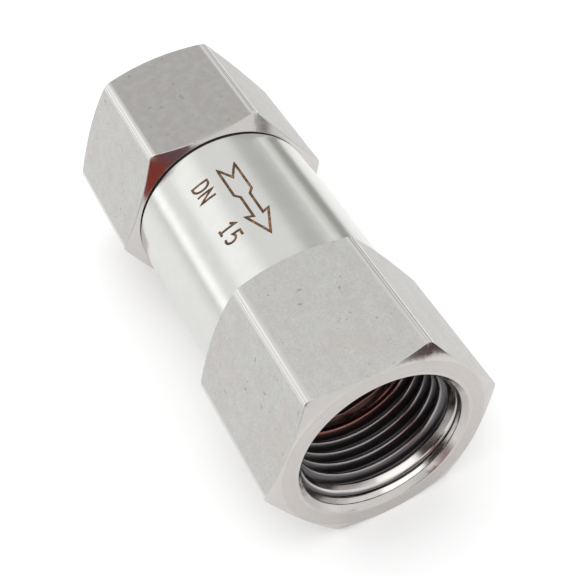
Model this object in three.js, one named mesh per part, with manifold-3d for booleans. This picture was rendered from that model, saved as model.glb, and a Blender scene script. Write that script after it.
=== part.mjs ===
// In-line spring check valve with female G 1/2 ports, turned from 27 mm hexagon bar. Millimetres.
//
// The flow axis is X: the fluid enters at -X, lifts the poppet off its seat against a spring, and
// leaves at +X. The valve lies on one flat of its hexagons, so +Z is the normal of the top flat.
// The origin is the middle of the valve, on the flow axis. The poppet is drawn closed.

import * as THREE from 'three';
import { mergeVertices } from 'three/addons/utils/BufferGeometryUtils.js';
import Module from 'manifold-3d';

const wasm = await Module();
wasm.setup();

// ---- Driving dimensions -------------------------------------------------------------------

// The hexagon bar that both the body and the inlet cap are turned from.
const ACROSS_FLATS = 27;
const CORNER_ROUND = 1;

// Lengths along the flow axis, from the outlet face back to the inlet face.
const OUTLET_HEX = 21.6;
const BARREL = 24.8;
const JOINT_GAP = 0.8;
const INLET_HEX = 21.1;
const LENGTH = OUTLET_HEX + BARREL + JOINT_GAP + INLET_HEX;

const BARREL_R = 13.1;

// The female pipe thread of each port, G 1/2: 14 threads to the inch. Behind the last turn the
// bore runs on plain to the port's full depth.
const PIPE = { pitch: 1.814, crestR: 9.315, rootR: 10.478, turns: 6, lead: 1.2, depth: 13.15 };
const MOUTH = { radius: 11.3, chamfer: 0.75 };

// The joint between body and cap, a fine thread drawn as two plain walls with its depth between.
const JOINT_BORE_R = 11.3;
const SPIGOT_R = 11;
const SPIGOT_END = 7.45;

const CHAMBER_R = 10.7;
const SEAT_R = 6.5;
const SEAT_LIP = 0.9;
const SEAT_RISE = 0.6;

const STEM_R = 2;
const RUNNING_CLEARANCE = 0.06;
const LIFT = 5;
const STOP_CLEARANCE = 0.1;

// How finely round things are cut: sides of a full circle.
const ROUND = 36;
const SMALL_ROUND = 24;

// ---- Places along the flow axis -----------------------------------------------------------

const OUTLET_FACE = LENGTH / 2;
const BARREL_FRONT = OUTLET_FACE - OUTLET_HEX;
const BARREL_REAR = BARREL_FRONT - BARREL;
const CAP_FACE = BARREL_REAR - JOINT_GAP;
const INLET_FACE = -LENGTH / 2;

const SPIGOT_FACE = CAP_FACE + SPIGOT_END;
const SEAT_FACE = SPIGOT_FACE + SEAT_RISE;
const JOINT_BORE_END = SPIGOT_FACE + 2;
const LEDGE = OUTLET_FACE - PIPE.depth;

// ---- Materials ----------------------------------------------------------------------------

const steel = (color, roughness) => new THREE.MeshStandardMaterial({ color, roughness, metalness: 1 });
const plastic = (color, roughness) => new THREE.MeshStandardMaterial({ color, roughness, metalness: 0 });

const SATIN_STEEL = 0xc9c8c4;
const BRIGHT_STEEL = 0xd6d6d4;
const SPRING_STEEL = 0xb9bab8;
const WHITE_PTFE = 0xe9e6dc;
const BLACK_RUBBER = 0x1c1b1a;

// ---- Solids -------------------------------------------------------------------------------

// A three.js geometry whose axis is its Y, laid along the flow axis.
const Y_TO_FLOW = new THREE.Matrix4().makeBasis(
  new THREE.Vector3(0, 0, 1), new THREE.Vector3(1, 0, 0), new THREE.Vector3(0, 1, 0));

// A shape drawn in X and Y and pulled along Z, turned so that it is pulled along the flow axis.
const Z_TO_FLOW = new THREE.Matrix4().makeBasis(
  new THREE.Vector3(0, 1, 0), new THREE.Vector3(0, 0, 1), new THREE.Vector3(1, 0, 0));

// The closed mesh of a geometry as a solid that can be cut and joined.
function toSolid(geometry) {
  const bare = geometry.index ? geometry.toNonIndexed() : geometry.clone();
  bare.deleteAttribute('normal');
  bare.deleteAttribute('uv');
  const merged = mergeVertices(bare, 1e-4);
  const corners = merged.index.array;
  const triangles = [];
  for (let i = 0; i < corners.length; i += 3) {
    const [a, b, c] = [corners[i], corners[i + 1], corners[i + 2]];
    if (a !== b && b !== c && c !== a) triangles.push(a, b, c);
  }
  return new wasm.Manifold(new wasm.Mesh({
    numProp: 3,
    vertProperties: merged.attributes.position.array,
    triVerts: new Uint32Array(triangles),
  }));
}

// The mesh geometry of a finished solid.
function toGeometry(solid) {
  const mesh = solid.getMesh();
  const geometry = new THREE.BufferGeometry();
  geometry.setAttribute('position', new THREE.BufferAttribute(mesh.vertProperties, 3));
  geometry.setIndex(new THREE.BufferAttribute(mesh.triVerts, 1));
  geometry.computeVertexNormals();
  return geometry;
}

// Twice the area inside a profile of [along, radius] pairs, negative if it runs clockwise.
function doubleArea(profile) {
  return profile.reduce((sum, [x, r], i) => {
    const [nextX, nextR] = profile[(i + 1) % profile.length];
    return sum + x * nextR - nextX * r;
  }, 0);
}

// A turned solid from its half section: [along the flow axis, radius] pairs. The section either
// starts and ends on the axis, or is a loop beside it.
function turned(profile, sides = ROUND) {
  const onAxis = profile[0][1] === 0 && profile.at(-1)[1] === 0;
  const outline = onAxis ? [...profile] : [...profile, profile[0]];
  if (doubleArea(profile) > 0) outline.reverse();
  const points = outline.map(([x, r]) => new THREE.Vector2(r, x));
  return toSolid(new THREE.LatheGeometry(points, sides).applyMatrix4(Y_TO_FLOW));
}

// A plain turned ring between two places on the axis.
const ring = (from, to, innerR, outerR, sides = ROUND) =>
  turned([[from, innerR], [from, outerR], [to, outerR], [to, innerR]], sides);

// A shape pulled along the flow axis from one place to another.
function pulled(shape, from, to, curveSegments = 4) {
  const settings = { depth: to - from, bevelEnabled: false, curveSegments };
  const geometry = new THREE.ExtrudeGeometry(shape, settings);
  return toSolid(geometry.applyMatrix4(Z_TO_FLOW).translate(from, 0, 0));
}

// A hexagon with rounded corners, the first corner on the shape's X axis.
function hexagon(acrossFlats, round) {
  const shape = new THREE.Shape();
  const centreR = (acrossFlats / 2 - round) / Math.cos(Math.PI / 6);
  for (let corner = 0; corner < 6; corner++) {
    const angle = corner * Math.PI / 3;
    const x = centreR * Math.cos(angle);
    const y = centreR * Math.sin(angle);
    shape.absarc(x, y, round, angle - Math.PI / 6, angle + Math.PI / 6, false);
  }
  shape.closePath();
  return shape;
}

// The turned envelope that chamfers a hexagon bar at both ends. Each end is { x, flatR, slope }:
// flatR is the radius of the flat face left inside the chamfer, slope its depth per radius.
function chamferEnvelope(rear, front) {
  const beyond = ACROSS_FLATS / 2 * 1.3;
  return turned([
    [rear.x, 0],
    [rear.x, rear.flatR],
    [rear.x + (beyond - rear.flatR) * rear.slope, beyond],
    [front.x - (beyond - front.flatR) * front.slope, beyond],
    [front.x, front.flatR],
    [front.x, 0],
  ], 2 * ROUND);
}

// A length of hexagon bar with both ends chamfered.
function hexBar(rear, front) {
  return pulled(hexagon(ACROSS_FLATS, CORNER_ROUND), rear.x, front.x)
    .intersect(chamferEnvelope(rear, front));
}

// Half section of a female pipe port, from outside its face to its full depth: mouth, lead-in
// chamfers and threads drawn as separate V grooves. inward is -1 where going in is towards -X.
function portSection(face, inward) {
  const { pitch, crestR, rootR, turns, lead, depth } = PIPE;
  const flat = pitch * 0.18;
  const flank = pitch / 2 - flat;
  const section = [
    [face - inward, 0],
    [face - inward, MOUTH.radius],
    [face, MOUTH.radius],
    [face + inward * MOUTH.chamfer, MOUTH.radius - MOUTH.chamfer],
  ];
  for (let turn = 0; turn < turns; turn++) {
    const start = lead + turn * pitch;
    section.push(
      [face + inward * start, crestR],
      [face + inward * (start + flank), rootR],
      [face + inward * (start + flank + flat), rootR],
      [face + inward * (start + 2 * flank + flat), crestR],
    );
  }
  section.push([face + inward * depth, crestR]);
  return section;
}

// ---- Housing ------------------------------------------------------------------------------

const GUIDE_THICK = 3;
const GUIDE_FACE = LEDGE - GUIDE_THICK;
const CIRCLIP_THICK = 1;
const CIRCLIP_GROOVE = { from: GUIDE_FACE - 1.2, to: GUIDE_FACE - 0.1, radius: 11.2 };

// Barrel and outlet hexagon in one piece, with the chamber that the poppet moves in.
function valveBody() {
  const rear = { x: BARREL_FRONT, flatR: BARREL_R, slope: 0.58 };
  const front = { x: OUTLET_FACE, flatR: 13.35, slope: 0.42 };
  const edge = 0.4;
  const barrel = turned([
    [BARREL_REAR, 0],
    [BARREL_REAR, BARREL_R - edge],
    [BARREL_REAR + edge * 0.3, BARREL_R - edge * 0.3],
    [BARREL_REAR + edge, BARREL_R],
    [BARREL_FRONT + 1, BARREL_R],
    [BARREL_FRONT + 1, 0],
  ], 2 * ROUND);
  const hollow = turned([
    ...portSection(OUTLET_FACE, -1),
    [LEDGE, CHAMBER_R],
    [CIRCLIP_GROOVE.to, CHAMBER_R],
    [CIRCLIP_GROOVE.to, CIRCLIP_GROOVE.radius],
    [CIRCLIP_GROOVE.from, CIRCLIP_GROOVE.radius],
    [CIRCLIP_GROOVE.from, CHAMBER_R],
    [JOINT_BORE_END, CHAMBER_R],
    [JOINT_BORE_END, JOINT_BORE_R],
    [BARREL_REAR - 1, JOINT_BORE_R],
    [BARREL_REAR - 1, 0],
  ]);
  return hexBar(rear, front).add(barrel).subtract(hollow);
}

// Inlet hexagon with the spigot that screws into the body and ends in the seat.
function inletCap() {
  const rear = { x: INLET_FACE, flatR: 13.25, slope: 0.62 };
  const front = { x: CAP_FACE, flatR: 13.05, slope: 0.55 };
  const lead = 0.6;
  const spigot = turned([
    [CAP_FACE - 1, 0],
    [CAP_FACE - 1, SPIGOT_R],
    [SPIGOT_FACE - lead, SPIGOT_R],
    [SPIGOT_FACE, SPIGOT_R - lead],
    [SPIGOT_FACE, SEAT_R + SEAT_LIP + SEAT_RISE],
    [SEAT_FACE, SEAT_R + SEAT_LIP],
    [SEAT_FACE, 0],
  ]);
  const throat = INLET_FACE + PIPE.depth + 2.2;
  const hollow = turned([
    ...portSection(INLET_FACE, 1),
    [throat, SEAT_R],
    [SEAT_FACE + 1, SEAT_R],
    [SEAT_FACE + 1, 0],
  ]);
  return hexBar(rear, front).add(spigot).subtract(hollow);
}

// Flat ring squeezed between body and cap, a little below the barrel's surface.
const bodyGasket = () => ring(CAP_FACE, BARREL_REAR, JOINT_BORE_R + 0.1, BARREL_R - 0.45, 2 * ROUND);

// ---- Stem guide ---------------------------------------------------------------------------

const BOSS_R = 3.9;
const BUSH_R = 2.9;
const FLANGE_R = BOSS_R - 0.2;
const FLANGE_THICK = 0.7;
const GUIDE_BOSS_END = GUIDE_FACE - 2.5;
const WINDOW = { innerR: 5.5, outerR: 9.1, spoke: 2.2, count: 3 };

// An opening of the guide between two spokes.
function windowShape(middle) {
  const half = Math.PI / WINDOW.count;
  const outer = half - Math.asin(WINDOW.spoke / 2 / WINDOW.outerR);
  const inner = half - Math.asin(WINDOW.spoke / 2 / WINDOW.innerR);
  const shape = new THREE.Shape();
  shape.absarc(0, 0, WINDOW.outerR, middle - outer, middle + outer, false);
  shape.absarc(0, 0, WINDOW.innerR, middle + inner, middle - inner, true);
  shape.closePath();
  return shape;
}

// Three-spoked plate across the chamber, with a boss for the bush that guides the stem.
function stemGuide() {
  const gap = 0.1;
  const plate = turned([[GUIDE_FACE, 0], [GUIDE_FACE, CHAMBER_R - gap], [LEDGE, CHAMBER_R - gap], [LEDGE, 0]]);
  const boss = turned([
    [GUIDE_BOSS_END, 0], [GUIDE_BOSS_END, BOSS_R - 0.3], [GUIDE_BOSS_END + 0.3, BOSS_R],
    [GUIDE_FACE + 1, BOSS_R], [GUIDE_FACE + 1, 0],
  ], SMALL_ROUND);
  const bore = turned([
    [GUIDE_BOSS_END - 1, 0], [GUIDE_BOSS_END - 1, BUSH_R + gap],
    [LEDGE + 1, BUSH_R + gap], [LEDGE + 1, 0],
  ], SMALL_ROUND);
  let guide = plate.add(boss).subtract(bore);
  for (let i = 0; i < WINDOW.count; i++) {
    const middle = -Math.PI / 2 + i * 2 * Math.PI / WINDOW.count;
    guide = guide.subtract(pulled(windowShape(middle), GUIDE_FACE - 1, LEDGE + 1, 8));
  }
  return guide;
}

// Plain bush in the guide's boss, with a flange on the outlet side.
function guideBush() {
  const innerR = STEM_R + RUNNING_CLEARANCE;
  return turned([
    [GUIDE_BOSS_END + 0.2, innerR], [GUIDE_BOSS_END + 0.2, BUSH_R], [LEDGE, BUSH_R],
    [LEDGE, FLANGE_R], [LEDGE + FLANGE_THICK, FLANGE_R], [LEDGE + FLANGE_THICK, innerR],
  ], SMALL_ROUND);
}

// Snap ring in the chamber's groove, with two drilled ears, that holds the guide on its ledge.
function guideRing() {
  const outerR = CIRCLIP_GROOVE.radius - 0.1;
  const innerR = outerR - 1.5;
  const ear = { angle: THREE.MathUtils.degToRad(14), centreR: innerR - 0.3, radius: 1.1, hole: 0.45 };
  const bow = new THREE.Shape();
  const start = -Math.PI / 2 + ear.angle;
  const end = start + 2 * Math.PI - 2 * ear.angle;
  bow.absarc(0, 0, outerR, start, end, false);
  bow.absarc(0, 0, innerR, end, start, true);
  bow.closePath();
  const from = GUIDE_FACE - 0.1 - CIRCLIP_THICK;
  let clip = pulled(bow, from, from + CIRCLIP_THICK, 16);
  for (const angle of [start + 0.06, end - 0.06]) {
    const x = ear.centreR * Math.cos(angle);
    const y = ear.centreR * Math.sin(angle);
    const outline = new THREE.Shape().absarc(x, y, ear.radius, 0, 2 * Math.PI, false);
    const hole = new THREE.Shape().absarc(x, y, ear.hole, 0, 2 * Math.PI, false);
    clip = clip.add(pulled(outline, from, from + CIRCLIP_THICK, 6));
    clip = clip.subtract(pulled(hole, from - 1, from + CIRCLIP_THICK + 1, 4));
  }
  return clip;
}

// ---- Poppet -------------------------------------------------------------------------------

const SEAL_THICK = 1.6;
const SEAL_R = 8;
const DISC_R = 8.6;
const DISC_FACE = SEAT_FACE + SEAL_THICK;
const DISC_BACK = DISC_FACE + 2.5;
const COLLAR_R = 3.8;
const COLLAR_THICK = 3.3;
const SHANK_R = 2.9;
const SHANK_END = GUIDE_BOSS_END - LIFT - STOP_CLEARANCE;
const WASHER_R = 5.8;
const WASHER_FACE = SEAT_FACE - 1.3;
const LOCK_FACE = WASHER_FACE - 0.8;
const NUT = { acrossFlats: 7, height: 3.2 };
const NUT_FACE = LOCK_FACE - NUT.height;
const HOLE_R = STEM_R + 0.1;
const STEM_END = LEDGE + FLANGE_THICK + 0.2;

// Metal disc that carries the seal in a recess on its inlet side.
function poppetDisc() {
  const recess = 0.9;
  const edge = 0.4;
  return turned([
    [DISC_FACE, HOLE_R], [DISC_FACE, SEAL_R + 0.1], [DISC_FACE - recess, SEAL_R + 0.1],
    [DISC_FACE - recess, DISC_R - 0.2], [DISC_FACE - recess + 0.2, DISC_R],
    [DISC_BACK - edge, DISC_R], [DISC_BACK, DISC_R - edge], [DISC_BACK, HOLE_R],
  ]);
}

// Turned stem: threaded tail through the disc, collar that centres the spring, shank whose
// shoulder stops the lift against the guide's boss, and the thin end that runs in the bush.
function poppetStem() {
  const tail = NUT_FACE - 0.7;
  const edge = 0.3;
  const collarEnd = DISC_BACK + COLLAR_THICK;
  return turned([
    [tail, 0], [tail, STEM_R - edge], [tail + edge, STEM_R], [DISC_BACK, STEM_R],
    [DISC_BACK, COLLAR_R], [collarEnd - edge, COLLAR_R], [collarEnd, COLLAR_R - edge],
    [collarEnd, SHANK_R], [SHANK_END - edge, SHANK_R], [SHANK_END, SHANK_R - edge],
    [SHANK_END, STEM_R], [STEM_END - edge, STEM_R], [STEM_END, STEM_R - edge], [STEM_END, 0],
  ], SMALL_ROUND);
}

// Rubber sealing disc.
const seatSeal = () => ring(SEAT_FACE, DISC_FACE, HOLE_R + 0.1, SEAL_R);

// Steel washer that clamps the seal's middle.
function sealWasher() {
  const edge = 0.25;
  return turned([
    [WASHER_FACE, HOLE_R], [WASHER_FACE, WASHER_R - edge], [WASHER_FACE + edge, WASHER_R],
    [SEAT_FACE, WASHER_R], [SEAT_FACE, HOLE_R],
  ]);
}

// Split spring washer under the nut.
function lockWasher() {
  const split = 0.12;
  const shape = new THREE.Shape();
  shape.absarc(0, 0, 3.4, split, 2 * Math.PI - split, false);
  shape.absarc(0, 0, HOLE_R, 2 * Math.PI - split, split, true);
  shape.closePath();
  return pulled(shape, LOCK_FACE, WASHER_FACE, 12);
}

// Hexagon nut that holds seal and disc against the stem's collar.
function stemNut() {
  const flatR = NUT.acrossFlats / 2 - 0.1;
  const slope = 0.5;
  const beyond = 5;
  const envelope = turned([
    [NUT_FACE, 0], [NUT_FACE, flatR], [NUT_FACE + (beyond - flatR) * slope, beyond],
    [LOCK_FACE, beyond], [LOCK_FACE, 0],
  ]);
  const bore = ring(NUT_FACE - 1, LOCK_FACE + 1, HOLE_R, 2 * beyond, SMALL_ROUND);
  return pulled(hexagon(NUT.acrossFlats, 0.2), NUT_FACE, LOCK_FACE).intersect(envelope).intersect(bore);
}

// ---- Spring -------------------------------------------------------------------------------

const WIRE_R = 0.4;
const COIL = { meanR: 4.9, turns: 8, endTurns: 0.9 };

// The wire's middle line: closed end turns, then an even rise between them.
class CoilLine extends THREE.Curve {
  getPoint(t) {
    const from = DISC_BACK + WIRE_R + 0.05;
    const to = GUIDE_FACE - WIRE_R - 0.05;
    const turn = t * COIL.turns;
    const closed = 2.2 * WIRE_R;
    const middleTurns = COIL.turns - 2 * COIL.endTurns;
    const middleRise = to - from - 2 * closed;
    let along = from + closed * Math.min(turn / COIL.endTurns, 1);
    along += middleRise * THREE.MathUtils.clamp((turn - COIL.endTurns) / middleTurns, 0, 1);
    along += closed * Math.max((turn - COIL.turns + COIL.endTurns) / COIL.endTurns, 0);
    const angle = turn * 2 * Math.PI;
    return new THREE.Vector3(along, COIL.meanR * Math.cos(angle), COIL.meanR * Math.sin(angle));
  }
}

// Compression spring that pushes the poppet onto its seat.
function returnSpring() {
  const wire = new THREE.Shape().absarc(0, 0, WIRE_R, 0, 2 * Math.PI, false);
  const stepsPerTurn = 12;
  const steps = COIL.turns * stepsPerTurn;
  const settings = { steps, extrudePath: new CoilLine(), bevelEnabled: false, curveSegments: 4 };
  return toSolid(new THREE.ExtrudeGeometry(wire, settings));
}

// ---- Assembly -----------------------------------------------------------------------------

const valve = new THREE.Group();

function addPiece(name, solid, material) {
  const mesh = new THREE.Mesh(toGeometry(solid), material);
  mesh.name = name;
  valve.add(mesh);
}

addPiece('valve_body', valveBody(), steel(SATIN_STEEL, 0.4));
addPiece('inlet_cap', inletCap(), steel(SATIN_STEEL, 0.4));
addPiece('body_gasket', bodyGasket(), plastic(BLACK_RUBBER, 0.7));
addPiece('stem_guide', stemGuide(), steel(BRIGHT_STEEL, 0.35));
addPiece('guide_bush', guideBush(), plastic(WHITE_PTFE, 0.5));
addPiece('guide_ring', guideRing(), steel(SPRING_STEEL, 0.35));
addPiece('return_spring', returnSpring(), steel(SPRING_STEEL, 0.3));
addPiece('poppet_disc', poppetDisc(), steel(BRIGHT_STEEL, 0.3));
addPiece('poppet_stem', poppetStem(), steel(BRIGHT_STEEL, 0.3));
addPiece('seat_seal', seatSeal(), plastic(BLACK_RUBBER, 0.7));
addPiece('seal_washer', sealWasher(), steel(BRIGHT_STEEL, 0.3));
addPiece('lock_washer', lockWasher(), steel(SPRING_STEEL, 0.35));
addPiece('stem_nut', stemNut(), steel(BRIGHT_STEEL, 0.3));

export default valve;
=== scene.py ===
"""Looks of an in-line spring check valve with female G 1/2 ports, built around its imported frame.

Lengths are in millimetres here and become metres where a mesh is made. The flow axis is X, the
valve lies on one flat of its hexagons, and the origin is the middle of the valve on its axis.
Turned and threaded pieces are grids: rows of (along, radius) pairs, one pair for each angle.
"""

import math

import bmesh
import bpy
import numpy as np
from mathutils import Matrix, Vector


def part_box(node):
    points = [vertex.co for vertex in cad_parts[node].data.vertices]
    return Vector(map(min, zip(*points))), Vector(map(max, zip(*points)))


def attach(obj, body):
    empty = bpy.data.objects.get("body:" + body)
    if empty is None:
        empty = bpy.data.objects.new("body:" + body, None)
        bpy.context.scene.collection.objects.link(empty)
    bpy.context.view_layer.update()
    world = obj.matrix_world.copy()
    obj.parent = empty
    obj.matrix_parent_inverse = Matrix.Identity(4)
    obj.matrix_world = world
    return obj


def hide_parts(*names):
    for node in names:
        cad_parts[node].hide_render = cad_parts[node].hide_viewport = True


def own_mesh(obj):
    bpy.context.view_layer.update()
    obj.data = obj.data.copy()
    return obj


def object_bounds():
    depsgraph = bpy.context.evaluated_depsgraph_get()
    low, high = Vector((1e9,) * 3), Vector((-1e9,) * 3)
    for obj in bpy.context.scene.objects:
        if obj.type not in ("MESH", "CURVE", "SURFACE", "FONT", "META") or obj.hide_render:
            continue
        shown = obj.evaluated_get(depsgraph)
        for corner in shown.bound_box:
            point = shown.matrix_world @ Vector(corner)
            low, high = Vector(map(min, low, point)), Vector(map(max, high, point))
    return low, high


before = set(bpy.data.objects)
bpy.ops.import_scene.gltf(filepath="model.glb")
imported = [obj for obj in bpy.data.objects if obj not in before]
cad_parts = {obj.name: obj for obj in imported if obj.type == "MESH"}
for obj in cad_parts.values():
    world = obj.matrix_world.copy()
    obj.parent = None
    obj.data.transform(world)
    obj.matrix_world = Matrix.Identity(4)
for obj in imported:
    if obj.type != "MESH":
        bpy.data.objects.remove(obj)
cad_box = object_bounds()

MM = 0.001
TURN = 2 * math.pi


# ---- Places and sizes, from the frame -------------------------------------------------------

def span(node):
    """Lowest and highest corner of a CAD node, in millimetres."""
    low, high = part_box(node)
    return np.array(low) / MM, np.array(high) / MM


def ends(node):
    """Where a CAD node starts and ends along the flow axis, and its reach in Z: its radius, or half
    its width across flats."""
    low, high = span(node)
    return low[0], high[0], high[2]


BARREL_REAR, OUTLET_FACE, HALF_FLATS = ends("valve_body")
INLET_FACE, SEAT_FACE, _ = ends("inlet_cap")
CAP_FACE, _, GASKET_R = ends("body_gasket")
GUIDE_BOSS_END, LEDGE, GUIDE_R = ends("stem_guide")
CLIP_FROM, CLIP_TO, CLIP_R = ends("guide_ring")
BUSH_FROM, BUSH_TO, FLANGE_R = ends("guide_bush")
SPRING_FROM, SPRING_TO, SPRING_R = ends("return_spring")
DISC_RIM, DISC_BACK, DISC_R = ends("poppet_disc")
_, SEAL_BACK, SEAL_R = ends("seat_seal")
WASHER_FACE, _, WASHER_R = ends("seal_washer")
LOCK_FACE, _, LOCK_R = ends("lock_washer")
NUT_FACE, _, NUT_HALF_FLATS = ends("stem_nut")
STEM_TAIL, STEM_END, COLLAR_R = ends("poppet_stem")

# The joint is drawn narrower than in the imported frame, so that it shows as a fine dark line.
JOINT_NARROWED = 0.33
JOINT_FACE = BARREL_REAR - JOINT_NARROWED

CORNER_ROUND = 1.0
BARREL_R = 13.1
BARREL_FRONT = 12.55

# Female pipe thread G 1/2. On the +Y side a crest line passes at CREST_DEPTH below the outlet
# face, and half a pitch deeper below the inlet face.
PIPE = {"pitch": 1.814, "crest": 9.315, "root": 10.478}
CREST_DEPTH = 0.356
THREAD_DEPTH = 11.5
RUN_OUT = 0.8
PORT_DEPTH = OUTLET_FACE - LEDGE
MOUTH = {"radius": 11.3, "chamfer": 0.7, "land": 0.1, "lead_in": 0.4}
LAND_R = MOUTH["radius"] - 0.95 * MOUTH["chamfer"]
LAND_END = MOUTH["chamfer"] + MOUTH["land"]
FACE_HOLE_R = MOUTH["radius"] + 0.4

# Whitworth profile: rounding and depth as parts of the pitch, and the flanks' half angle.
PROFILE_ROUND = 0.137329
PROFILE_DEPTH = 0.640327
PROFILE_FLANK = math.radians(27.5)

# Fine thread between body and cap, and the M4 thread of stem and nut.
JOINT = {"pitch": 1.5, "bore_crest": 10.9, "bore_root": 11.42, "crest": 11.3, "root": 10.8}
STEM = {"pitch": 0.7, "bore_crest": 1.68, "bore_root": 2.08, "crest": 1.98, "root": 1.58}

JOINT_START = BARREL_REAR + 0.4
JOINT_MOUTH_R = 11.3
JOINT_FACE_R = 11.7
BARREL_END_R = 12.2
CHAMBER_R = 10.7
SPIGOT_FACE = SEAT_FACE - 0.6
JOINT_BORE_END = SPIGOT_FACE + 2
SEAT_R = 6.5
SEAT_LIP = 0.9
STEM_R = 2.0
SHANK_R = 2.9
SHANK_END = GUIDE_BOSS_END - 5.1
HOLE_R = STEM_R + 0.1
BUSH_R = 2.9
GUIDE_THICK = 3.0
GUIDE_BOSS_R = 3.9
WIRE_R = 0.4


# ---- Grids ----------------------------------------------------------------------------------

def even_angles(columns):
    """Angles of a full turn, with both its ends."""
    return np.linspace(0, TURN, columns + 1)


def hexagon_tangent(half_flats, corner):
    """Angle from a corner of a hexagon to where its rounding meets the flat."""
    centre = (half_flats - corner) / math.cos(math.pi / 6)
    return math.pi / 6 - math.atan2(centre / 2, half_flats)


def hexagon_angles(half_flats, corner, corner_steps, flat_steps):
    """Angles of a full turn that sample each rounded corner finely and each flat evenly."""
    tangent = hexagon_tangent(half_flats, corner)
    arc = np.linspace(0, tangent, corner_steps + 1)[:-1]
    flat = np.linspace(tangent, math.pi / 3 - tangent, flat_steps + 1)[:-1]
    arc_back = np.linspace(math.pi / 3 - tangent, math.pi / 3, corner_steps + 1)[:-1]
    sixth = np.concatenate([arc, flat, arc_back])
    turn = np.concatenate([sixth + i * math.pi / 3 for i in range(6)])
    return np.append(turn, TURN)


def hexagon_radius(angles, half_flats, corner):
    """Radius of a hexagon with rounded corners, the first corner at angle 0."""
    off = np.abs((angles + math.pi / 6) % (math.pi / 3) - math.pi / 6)
    centre = (half_flats - corner) / math.cos(math.pi / 6)
    flat = half_flats / np.cos(math.pi / 6 - off)
    reach = np.maximum(corner ** 2 - (centre * np.sin(off)) ** 2, 0)
    arc = centre * np.cos(off) + np.sqrt(reach)
    return np.where(off < hexagon_tangent(half_flats, corner), arc, flat)


def section(angles, corners, steps=3):
    """Rows through corners (along, radius, cut), each corner rounded off from cut before it to cut
    after it. Along and radius are one number, or one for each angle."""
    columns = len(angles)
    points = np.array([
        np.stack([np.broadcast_to(x, columns), np.broadcast_to(r, columns)], axis=1)
        for x, r, _ in corners
    ])
    rows = []
    for i, (_, _, cut) in enumerate(corners):
        if cut == 0:
            rows.append(points[i])
            continue
        before = points[i - 1] - points[i]
        after = points[(i + 1) % len(points)] - points[i]
        before_length = np.linalg.norm(before, axis=1, keepdims=True) + 1e-9
        after_length = np.linalg.norm(after, axis=1, keepdims=True) + 1e-9
        reach = np.minimum(cut, 0.45 * np.minimum(before_length, after_length))
        start = points[i] + before / before_length * reach
        end = points[i] + after / after_length * reach
        for t in np.linspace(0, 1, steps + 1):
            rows.append((1 - t) ** 2 * start + 2 * t * (1 - t) * points[i] + t ** 2 * end)
    return np.array(rows)


def thread_shape(distance, pitch):
    """Depth of a 55 degree thread with rounded crest and root, 0 at the crest and 1 at the root,
    at a distance from the crest line."""
    round_r = PROFILE_ROUND * pitch
    depth = PROFILE_DEPTH * pitch
    arc_end = round_r * math.cos(PROFILE_FLANK)
    arc_drop = round_r * (1 - math.sin(PROFILE_FLANK))
    crest = round_r - np.sqrt(np.maximum(round_r ** 2 - distance ** 2, 0))
    from_root = pitch / 2 - distance
    root = depth - round_r + np.sqrt(np.maximum(round_r ** 2 - from_root ** 2, 0))
    straight = arc_drop + (distance - arc_end) / math.tan(PROFILE_FLANK)
    shape = np.where(distance < arc_end, crest, straight)
    return np.where(from_root < arc_end, root, shape) / depth


def thread_rows(angles, start, end, pitch, crest_at, crest_r, root_r, fineness=1):
    """Rows that follow a right-hand thread from start to end. crest_at is where a crest line
    passes angle 0."""
    low, high = min(start, end), max(start, end)
    arc = PROFILE_ROUND * math.cos(PROFILE_FLANK)
    half = np.concatenate([
        np.linspace(0, arc, 2 * fineness + 1),
        np.linspace(arc, 0.5 - arc, 2 * fineness + 1)[1:-1],
        np.linspace(0.5 - arc, 0.5, 2 * fineness + 1),
    ])
    phases = np.concatenate([half, 1 - half[-2:0:-1]])
    first = math.floor((low - pitch - crest_at) / pitch)
    last = math.ceil((high - crest_at) / pitch)
    lines = np.concatenate([crest_at + pitch * (n + phases) for n in range(first, last + 1)])
    lines = lines[(lines > low - pitch) & (lines < high)]
    along = np.clip(lines[:, None] + pitch * angles / TURN, low, high)
    along = np.concatenate([np.full((1, len(angles)), low), along, np.full((1, len(angles)), high)])
    turns = (along - crest_at) / pitch - angles / TURN
    distance = np.abs(turns - np.round(turns)) * pitch
    radius = crest_r + (root_r - crest_r) * thread_shape(distance, pitch)
    rows = np.stack([along, radius], axis=2)
    return rows if start < end else rows[::-1]


def ease(t):
    """0 below 0, 1 above 1, and a smooth step between."""
    t = np.clip(t, 0, 1)
    return t * t * (3 - 2 * t)


def port_thread(angles, face, inward):
    """Rows of a pipe port's thread, cut away by the lead-in cone and running out into the bore."""
    shallow = face + inward * LAND_END
    deep = face + inward * (THREAD_DEPTH + RUN_OUT)
    crest_at = face - CREST_DEPTH if inward < 0 else face + CREST_DEPTH + PIPE["pitch"] / 2
    rows = thread_rows(angles, deep, shallow, PIPE["pitch"], crest_at, PIPE["crest"], PIPE["root"],
                       fineness=2)
    depth = np.abs(rows[..., 0] - face)
    grooved = ease((THREAD_DEPTH + RUN_OUT - depth) / RUN_OUT)
    rows[..., 1] = PIPE["crest"] + (rows[..., 1] - PIPE["crest"]) * grooved
    rows[..., 1] = np.maximum(rows[..., 1], lead_in(depth))
    return rows


def lead_in(depth):
    """Radius of the cone that leads into a port's thread, at a depth below its face."""
    return LAND_R - MOUTH["lead_in"] * (depth - LAND_END)


def mouth(angles, face, inward):
    """Rows of a port's mouth from its land out to the face."""
    return section(angles, [
        (face + inward * LAND_END, LAND_R, 0),
        (face + inward * MOUTH["chamfer"], LAND_R, 0.1),
        (face, MOUTH["radius"], 0.12),
        (face, FACE_HOLE_R, 0),
    ])


# ---- Meshes ---------------------------------------------------------------------------------

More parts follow.
